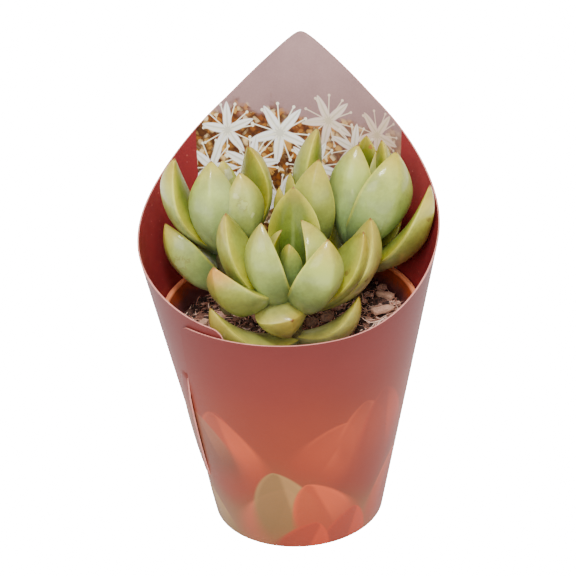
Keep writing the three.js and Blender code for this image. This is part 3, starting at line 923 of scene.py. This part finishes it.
def nursery_pot(material):
    sides, rounding = 160, 0.35
    foot, band_foot = pot_wall_radius(0), POT_HEIGHT - POT_RIM_DEPTH
    wall = pot_wall_radius(band_foot)
    lip_inside = POT_RIM_RADIUS - POT_RIM_WIDTH
    turns = [math.pi / 8 * i for i in range(5)]
    quarter = [(rounding * (1 - math.cos(turn)), rounding * (1 - math.sin(turn))) for turn in turns]
    profile = [
        (0.001, 0), (foot - 0.8, 0), (foot - 0.3, 0.12), (foot, 0.6),
        *((pot_wall_radius(z), z) for z in range(4, int(band_foot), 4)),
        (wall, band_foot - 0.2), (wall + 0.15, band_foot - 0.02), (wall + POT_RIM_STEP - 0.2, band_foot),
        (wall + POT_RIM_STEP - 0.02, band_foot + 0.2), (POT_RIM_RADIUS, POT_HEIGHT - 1),
        *((POT_RIM_RADIUS - inward, POT_HEIGHT - down) for inward, down in quarter),
        *((lip_inside + inward, POT_HEIGHT - down) for down, inward in quarter),
        *((pot_inner_radius(z), z) for z in range(int(band_foot), 1, -4)),
        (pot_inner_radius(POT_FLOOR) - 0.4, POT_FLOOR), (0.001, POT_FLOOR),
    ]
    skin = Skin()
    points = [(radius * x, radius * y, z) for radius, z in profile for x, y in circle(sides)]
    skin.add(points, faces_round(len(profile), sides, pointed=False))
    piece = skin.build("nursery_pot", material)
    for i in range(DRAIN_COUNT):
        turn = math.radians(45 + 360 / DRAIN_COUNT * i)
        spot = (DRAIN_CIRCLE * math.cos(turn) * MM, DRAIN_CIRCLE * math.sin(turn) * MM, 0)
        size = {"vertices": 40, "radius": DRAIN_RADIUS * MM, "depth": 6 * MM}
        bpy.ops.mesh.primitive_cylinder_add(location=spot, **size)
        drill = bpy.context.object
        cut = piece.modifiers.new("drain", "BOOLEAN")
        cut.operation = "DIFFERENCE"
        cut.object = drill
        cut.solver = "EXACT"
        cut_piece = piece.evaluated_get(bpy.context.evaluated_depsgraph_get())
        cut_mesh = bpy.data.meshes.new_from_object(cut_piece)
        piece.modifiers.clear()
        piece.data = cut_mesh
        bpy.data.objects.remove(drill)
    sharpen_corners(piece, 40)
    finish_piece(piece, "pot_plastic", "pot")


def pot_material():
    recipe = Finish("terracotta_plastic", {"Roughness": 0.5})
    place = recipe.place()
    clouds = recipe.clouds(place, 220, 2600, 0.35)
    colour = recipe.ramp(clouds, {0.3: (143, 59, 34), 0.7: (185, 73, 28)})
    grime = recipe.specks(place, 700, 0.3, 0.25)
    colour = recipe.blend(recipe.times(grime, 0.6), colour, (68, 39, 29))
    height = recipe.parts(place)["Z"]
    # Darker red-brown on the pot below the rim
    darker_below_rim = recipe.between(recipe.sum("ADD", height, recipe.times(clouds, 0.004)), 0.0548, 0.0515, 0, 0.92)
    colour = recipe.blend(darker_below_rim, colour, (92, 50, 52))
    # Painted highlight: the top of the rim is painted a lighter orange, standing in for the light that falls
    # on it
    colour = recipe.blend(recipe.between(height, 0.0532, 0.0537), colour, (240, 140, 92))
    roughness = recipe.between(clouds, 0.3, 0.7, 0.42, 0.6)
    return recipe.done(colour, roughness, recipe.bump(clouds, 0.15, 0.0003))


# Sleeve

CONE_SINE = math.sin(math.atan(SLEEVE_TAPER))
CONE_COSINE = math.cos(math.atan(SLEEVE_TAPER))
APEX_DEPTH = SLEEVE_FOOT_RADIUS / SLEEVE_TAPER


def slant_at(z):
    return (z + APEX_DEPTH) / CONE_COSINE


def on_card(angle, z):
    """Where a place on the cone lies on the flat card, with the line to the peak running straight up"""
    turn = math.radians(angle - PEAK_ANGLE) * CONE_SINE
    slant = slant_at(z)
    return slant * math.sin(turn), slant * math.cos(turn), 0


def angle_on_card(place):
    """The angle round the sleeve of a place on the flat card"""
    return PEAK_ANGLE + math.degrees(math.atan2(place[0], place[1])) / CONE_SINE


def on_cone(degrees, z, lifted):
    """A place that far off the cone, and where it lies on the flat card"""
    radius = SLEEVE_FOOT_RADIUS + SLEEVE_TAPER * z + lifted
    angle = math.radians(degrees)
    return (radius * math.sin(angle), -radius * math.cos(angle), z), on_card(degrees, z)


def height_along(stations, angle):
    """The height at an angle, on a smooth line through stations of (angle, height)"""
    last = len(stations) - 1
    right = max(next(i for i, (end, _) in enumerate(stations) if end >= angle), 1)
    start, end = stations[right - 1], stations[right]

    def slope_at(i):
        low, high = stations[max(i - 1, 0)], stations[min(i + 1, last)]
        return (high[1] - low[1]) / (high[0] - low[0])

    width = end[0] - start[0]
    t = (angle - start[0]) / width
    return (
        (1 + 2 * t) * (1 - t) ** 2 * start[1] + t * (1 - t) ** 2 * width * slope_at(right - 1)
        + t * t * (3 - 2 * t) * end[1] - t * t * (1 - t) * width * slope_at(right)
    )


def sleeve_top(angle):
    turned = angle - PEAK_ANGLE
    from_peak = math.hypot(turned, PEAK_ROUNDING)
    return height_along(LEFT_EDGE if turned > 0 else RIGHT_EDGE, from_peak)


def outer_end_angle(z):
    flat_turn = math.asin(OUTER_REACH / slant_at(min(z, TOP_OF_OUTER_END)))
    return -math.degrees(flat_turn) / CONE_SINE


def corner_drop(distance):
    short = max(CORNER_RADIUS - distance, 0)
    return CORNER_RADIUS - math.sqrt(CORNER_RADIUS ** 2 - short ** 2)


def evenly(start, end, widest):
    steps = math.ceil((end - start) / widest)
    return [start + (end - start) * i / steps for i in range(steps + 1)]


def shares(count):
    return [i / count for i in range(count + 1)]


def card_panel(columns, rows, point_at):
    """A closed sheet of card over columns and rows: its points, their places on the flat card, its faces, and
    for each face 0 on the outer skin, 1 on the inner skin and 2 on a cut edge"""
    spots = [point_at(column, row, depth) for depth in (0, CARD) for column in columns for row in rows]
    points, places = [list(part) for part in zip(*spots)]
    high = len(rows)
    inner = len(columns) * high
    last = inner - high
    faces, kinds = [], []

    def quad(kind, *corners):
        faces.append(corners)
        kinds.append(kind)

    for j in range(0, last, high):
        for i in range(j, j + high - 1):
            quad(0, i, i + high, i + high + 1, i + 1)
            quad(1, inner + i, inner + i + 1, inner + i + high + 1, inner + i + high)
        top = j + high - 1
        quad(2, j, inner + j, inner + j + high, j + high)
        quad(2, top, top + high, inner + top + high, inner + top)
    for i in range(high - 1):
        quad(2, i, i + 1, inner + i + 1, inner + i)
        quad(2, last + i, inner + last + i, inner + last + i + 1, last + i + 1)
    return points, places, faces, kinds


def slit_lip():
    """The tongue of the card's inner end, which comes out through the slit near the overlap and lies on the
    outside"""
    def point_at(across, share, depth):
        slit_height = SLIT_TOP[1] - SLIT_FOOT[1]
        z = SLIT_FOOT[1] + share * slit_height
        slit_angle = SLIT_TOP[0] + (SLIT_FOOT[0] - SLIT_TOP[0]) * (SLIT_TOP[1] - z) / slit_height
        degrees = slit_angle - SLIT_LIP_WIDTH * (1 - 0.6 * share ** 3) * (1 - across)
        swell = math.sin(math.pi * share) ** 0.3
        flush = 0.2 if degrees > outer_end_angle(z) else -0.3
        raised = -0.27 + (0.56 + SLIT_LIFT + CARD) * across ** 0.5
        return on_cone(degrees, z, flush * (1 - swell) + raised * swell - depth)

    return card_panel(shares(24), shares(40), point_at)


def sleeve(outside_finishes, inside_finish, edge_finish):
    start = outer_end_angle(TOP_OF_OUTER_END)
    turn = INNER_END - start
    peak = PEAK_ANGLE - start
    # Columns stand closer together at both ends of the sheet and at its peak
    columns = sorted({
        *evenly(0, 4, 0.4), *evenly(4, peak - 5, 1.5), *evenly(peak - 5, peak + 5, 0.5),
        *evenly(peak + 5, turn - 4, 1.5), *evenly(turn - 4, turn, 0.4),
    })
    top_radius = SLEEVE_FOOT_RADIUS + SLEEVE_TAPER * TOP_OF_OUTER_END

    def point_at(travelled, share, depth):
        from_end = math.radians(min(travelled, turn - travelled)) * top_radius
        z = share * (sleeve_top(start + travelled) - corner_drop(from_end))
        own_start = outer_end_angle(z)
        degrees = own_start + (INNER_END - own_start) * travelled / turn
        return on_cone(degrees, z, LAP_OUT - LAP_STEP * travelled / 360 - depth)

    skin = Skin()
    for points, places, faces, kinds in (card_panel(columns, shares(60), point_at), slit_lip()):
        skin.add(points, faces, kinds, card_place=places, height=[spot[2] for spot in points])
    right_kind, left_kind = 3, 4
    for number, face in enumerate(skin.faces):
        angle = angle_on_card(skin.values["card_place"][face[0]])
        if skin.kinds[number] == 0 and angle > PRINT_SECTORS[0][1]:
            skin.kinds[number] = left_kind if angle > PRINT_SECTORS[1][1] else right_kind
    front, right, left = outside_finishes
    piece = skin.build("sleeve_card", front, inside_finish, edge_finish, right, left)
    sharpen_corners(piece, 50)
    finish_piece(piece, "sleeve_card", "sleeve")


# A picture of broad leaves round the lower part of the sleeve: angle and height of the foot, lean from
# upright, length and width, and tint. Each leaf covers those that stand before it in the list.
PRINTED_LEAVES = [
    ((-95, 14), 24, (34, 17), "brown"),
    ((-52, 6), 10, (34, 16), "rust"),
    ((-26, 4), -14, (36, 18), "coral"),
    ((20, 2), 20, (38, 17), "rust"),
    ((-6, 14), 34, (27, 14), "coral"),
    ((38, 14), -4, (28, 15), "coral"),
    ((-36, 12), -24, (26, 13), "brown"),
    ((58, 6), -10, (38, 16), "rust"),
    ((98, 10), 18, (34, 16), "brown"),
    ((135, 6), -22, (32, 16), "coral"),
    ((172, 9), 12, (34, 17), "olive"),
    ((212, 7), -16, (33, 16), "rust"),
    ((245, 9), 20, (32, 15), "coral"),
    ((-40, -8), 28, (30, 14), "peach"),
    ((2, -8), -12, (33, 16), "olive"),
    ((36, -8), -26, (31, 15), "coral"),
    ((52, -9), 14, (30, 13), "coral"),
    ((84, -6), -6, (28, 15), "rust"),
    ((120, -7), 24, (27, 13), "peach"),
    ((152, -6), -18, (29, 15), "coral"),
    ((192, -7), 8, (27, 13), "olive"),
    ((232, -6), -26, (28, 14), "peach"),
    ((262, -7), 14, (28, 14), "coral"),
    ((16, -15), 16, (26, 13), "rust"),
    ((-56, -13), -14, (26, 13), "olive"),
    ((-18, -14), 26, (24, 13), "rust"),
]

# The parts of the outside that have a material each, from and to an angle, and how many degrees round the
# sleeve a printed leaf reaches from its foot
PRINT_SECTORS = [(-120, 50), (50, 180), (180, 360)]
LEAF_REACH = 50
PRINT_HEIGHT = 110
PRINT_TINTS = {
    "coral": ((112, 38, 20), (172, 70, 36)),
    "rust": ((96, 34, 22), (152, 52, 26)),
    "peach": ((120, 52, 34), (190, 98, 62)),
    "olive": ((88, 64, 30), (138, 102, 58)),
    "brown": ((84, 40, 26), (130, 76, 50)),
}


def sleeve_outside_material(sector):
    """The print on one part of the outside, with the printed leaves that reach into it"""
    first, last = PRINT_SECTORS[sector]
    recipe = Finish("sleeve_print_outside_" + str(sector), {"Roughness": 0.5, "Specular IOR Level": 0.14})
    card_place = recipe.card_place()
    height = recipe.value("height")
    share = recipe.sum("DIVIDE", height, PRINT_HEIGHT)
    upper = recipe.ramp(share, {
        0.2: (118, 42, 26), 0.38: (108, 38, 27), 0.55: (97, 33, 29), 1: (86, 30, 28),
    })
    colour = recipe.ramp(share, {0: (112, 78, 46), 0.12: (108, 62, 34), 0.26: (120, 46, 24)})
    for (angle, foot_height), lean, (length, width), tint in PRINTED_LEAVES:
        if not first - LEAF_REACH < angle < last + LEAF_REACH:
            continue
        turn = math.radians(angle - PEAK_ANGLE) * CONE_SINE + math.radians(lean)
        mask, rim, fold, along = recipe.use(PRINTED_LEAF, {
            "Card Place": card_place, "Foot": on_card(angle, foot_height), "Turn": turn, "Length": length,
            "Width": width, "Softness": 0.5,
        })
        lit = recipe.sum("ADD", recipe.between(along, 0, 1, 0, 0.5), recipe.times(fold, 0.45))
        lit = recipe.sum("ADD", lit, recipe.times(rim, 0.3))
        colour = recipe.blend(recipe.times(mask, 0.93), colour, recipe.blend(lit, *PRINT_TINTS[tint]))
    drift = recipe.times(recipe.noise(card_place, 0.05, 1), 16)
    clear = recipe.between(recipe.sum("SUBTRACT", height, drift), 42, 20)
    clouds = recipe.clouds(recipe.place(), 40, 3200, 0.2)
    colour = recipe.shaded(recipe.blend(clear, upper, colour), clouds, 0.3, 0.7, 0.95, 1.05)
    return recipe.done(colour, normal=recipe.bump(recipe.noise(recipe.place(), 2600), 0.05, 0.0002))


# A picture of white blossoms on the inside: place across and up the flat card, radius, turn, and how brown
# each has become with age
PRINTED_BLOSSOMS = [
    ((-19.5, 188), 6.4, 0.3, 0.75),
    ((-6.5, 190.5), 6.8, 0.1, 0.6),
    ((18.5, 189), 7, 0.95, 0.05),
    ((5.5, 187.5), 7.8, 0.2, 0),
    ((-13, 184), 6.4, 0.8, 0.45),
    ((23, 180.5), 7, 0.5, 0),
    ((13, 180), 7.4, 0.7, 0),
    ((-2.5, 179), 7, 0.45, 0.1),
    ((-21.5, 178.5), 6.4, 0.3, 0.6),
    ((19, 170.5), 6.4, 0.2, 0.1),
    ((6, 171), 6.6, 0.55, 0.05),
    ((-10, 171), 6.4, 0.95, 0.4),
    ((22, 161), 6, 0.5, 0.2),
    ((-20, 167), 6, 0.15, 0.6),
]
PRINT_HALF_WIDTH = 27


def sleeve_inside_material():
    recipe = Finish("sleeve_print_inside", {"Roughness": 0.45, "Specular IOR Level": 0.3})
    place = recipe.place()
    card_place = recipe.card_place()
    parts = recipe.parts(card_place)
    clouds = recipe.clouds(place, 70, 2600, 0.3)
    red = recipe.ramp(clouds, {0.3: (126, 36, 40), 0.7: (146, 44, 46)})
    specks = recipe.specks(place, 700, 0.2, 0.4)
    red = recipe.blend(recipe.times(specks, 0.6), red, (206, 120, 108))

    # Behind the blossoms: mauve grey above, rust and ochre dried petals below
    ragged = recipe.times(recipe.sum("SUBTRACT", recipe.noise(card_place, 0.22, 3, 0.6), 0.5), 14)
    slanting = recipe.times(parts["X"], -0.14)
    level = recipe.sum("ADD", parts["Y"], recipe.sum("ADD", ragged, slanting))
    bent = recipe.on_place("MULTIPLY", recipe.noise(card_place, 0.5), (3, 3, 0))
    distance, drawn = recipe.cells(recipe.on_place("ADD", card_place, bent), 0.7)
    dried = recipe.ramp(drawn, {
        0: (78, 44, 18), 0.25: (128, 70, 24), 0.5: (172, 112, 44), 0.75: (206, 160, 84), 1: (246, 220, 172),
    })
    dried = recipe.blend(recipe.between(distance, 0.3, 0.75, 0, 0.85), dried, (66, 30, 14))
    dried = recipe.blend(recipe.between(parts["X"], 0, -22, 0, 0.55), dried, (170, 132, 118))
    mauve = recipe.ramp(clouds, {0.3: (144, 111, 110), 0.7: (158, 125, 121)})
    picture = recipe.blend(recipe.between(level, 189.5, 193.5), dried, mauve)
    for (across, up), radius, turn, age in PRINTED_BLOSSOMS:
        petal, stamen, crease = recipe.use(PRINTED_BLOSSOM, {
            "Card Place": card_place, "Centre": (across, up, 0), "Radius": radius, "Turn": turn,
            "Petals": 5, "Petal Width": 0.36,
        })
        fresh = recipe.blend(age, (255, 254, 250), (204, 160, 128))
        creased = recipe.blend(recipe.between(crease, 0.4, 0, 0, 0.5), fresh, (170, 158, 100))
        picture = recipe.blend(petal, picture, creased)
        thread = recipe.blend(age, (255, 250, 226), (206, 168, 140))
        picture = recipe.blend(recipe.times(stamen, 0.9), picture, thread)
    beyond = recipe.sum("ABSOLUTE", parts["X"])
    on_panel = recipe.between(beyond, PRINT_HALF_WIDTH + 0.1, PRINT_HALF_WIDTH - 0.1)
    return recipe.done(recipe.shaded(recipe.blend(on_panel, red, picture), clouds, 0.3, 0.7, 0.95, 1.05))


def card_edge_material():
    recipe = Finish("cut_card_edge", {"Roughness": 0.8})
    clouds = recipe.clouds(recipe.place(), 500, 3000, 0.4)
    return recipe.done(recipe.ramp(clouds, {0.3: (196, 116, 106), 0.7: (218, 152, 138)}))


# Floor, light and camera

FLOOR_SIDE = 4
WHITE_FOR_CAMERA = 18
LAMPS = [
    {"name": "soft_key", "place": (-0.3, -0.8, 0.65), "size": 0.5, "power": 5.5},
    {"name": "window", "place": (0.02, -0.4, 0.95), "size": 0.2, "power": 8},
    {"name": "soft_fill", "place": (0.55, -0.7, 0.75), "size": 0.8, "power": 3},
]
LAMPS_AIM = (0, 0, 0.06)
IMAGE_SIDE = 576
FOCAL_PIXELS = 1924.86
SENSOR_WIDTH = 36
VIEW_DISTANCE = 442.85
VIEW_ELEVATION = math.radians(28.437)
VIEW_ROLL = math.radians(-2.854)
VIEW_TARGET = (-0.344, 0, 58.30)


def glow(recipe, own):
    """How strongly a white surface shines: its own strength, and more where the camera sees it"""
    seen = recipe.node("ShaderNodeLightPath").outputs["Is Camera Ray"]
    return recipe.sum("MULTIPLY_ADD", seen, WHITE_FOR_CAMERA, own)


def stage():
    """A floor and surroundings that the camera sees as white, while they light the plant only softly"""
    bpy.ops.mesh.primitive_plane_add(size=FLOOR_SIDE)
    floor = bpy.context.object
    floor.name = "floor"
    recipe = Finish("pale_floor", {
        "Roughness": 0.9, "Base Color": (0.92, 0.92, 0.92, 1), "Emission Color": (1, 1, 1, 1),
    })
    recipe.put(recipe.shader["Emission Strength"], glow(recipe, 1))
    floor.data.materials.append(recipe.material)

    world = bpy.data.worlds.new("studio")
    bpy.context.scene.world = world
    world.use_nodes = True
    recipe = Recipe(world.node_tree)
    background = world.node_tree.nodes["Background"].inputs
    background["Color"].default_value = (1, 1, 1, 1)
    recipe.put(background["Strength"], glow(recipe, 0.9))

    for plan in LAMPS:
        lamp = bpy.data.lights.new(plan["name"], "AREA")
        lamp.size = plan["size"]
        lamp.energy = plan["power"]
        holder = bpy.data.objects.new(plan["name"], lamp)
        holder.location = plan["place"]
        aim = Vector(LAMPS_AIM) - Vector(plan["place"])
        holder.rotation_euler = aim.to_track_quat("-Z", "Y").to_euler()
        bpy.context.scene.collection.objects.link(holder)


def camera():
    """The photo's viewpoint, worked out from the sleeve's outline"""
    back = Vector((0, -math.cos(VIEW_ELEVATION), math.sin(VIEW_ELEVATION)))
    right = Vector((1, 0, 0))
    up = Vector((0, math.sin(VIEW_ELEVATION), math.cos(VIEW_ELEVATION)))
    turned_right = right * math.cos(VIEW_ROLL) + up * math.sin(VIEW_ROLL)
    turned_up = up * math.cos(VIEW_ROLL) - right * math.sin(VIEW_ROLL)
    data = bpy.data.cameras.new("camera")
    data.sensor_width = SENSOR_WIDTH
    data.lens = FOCAL_PIXELS * SENSOR_WIDTH / IMAGE_SIDE
    data.clip_start = 0.01
    data.clip_end = 10
    view = bpy.data.objects.new("camera", data)
    rotation = Matrix((turned_right, turned_up, back)).transposed()
    spot = (Vector(VIEW_TARGET) + back * VIEW_DISTANCE) * MM
    view.matrix_world = Matrix.Translation(spot) @ rotation.to_4x4()
    bpy.context.scene.collection.objects.link(view)
    bpy.context.scene.camera = view


stage()
camera()
leaf_finish, stem_finish = leaf_material(), stem_material()
for stem_name, stem_plan in LEAFY_STEMS.items():
    leafy_stem(stem_name, stem_plan, leaf_finish, stem_finish)
peat = fibre_material("peat", (46, 28, 22), (138, 94, 76), (218, 170, 146))
coir = fibre_material("coir", (120, 70, 56), (210, 150, 126), (255, 222, 198))
bark = fibre_material("bark", (110, 74, 60), (186, 140, 116), (230, 190, 158))
stone = fibre_material("pebble_stone", (90, 64, 52), (140, 104, 84), (190, 148, 120))
growing_medium(peat)
crumbs(peat)
fibres(coir)
for number, chip in enumerate(BARK_CHIPS):
    rough_lump(chip, bark, "bark", True, number * 5.3)
for number, pebble in enumerate(PEBBLES):
    rough_lump(pebble, stone, "pebbles", False, number * 7.1)
nursery_pot(pot_material())
outside_finishes = [sleeve_outside_material(sector) for sector in range(len(PRINT_SECTORS))]
sleeve(outside_finishes, sleeve_inside_material(), card_edge_material())
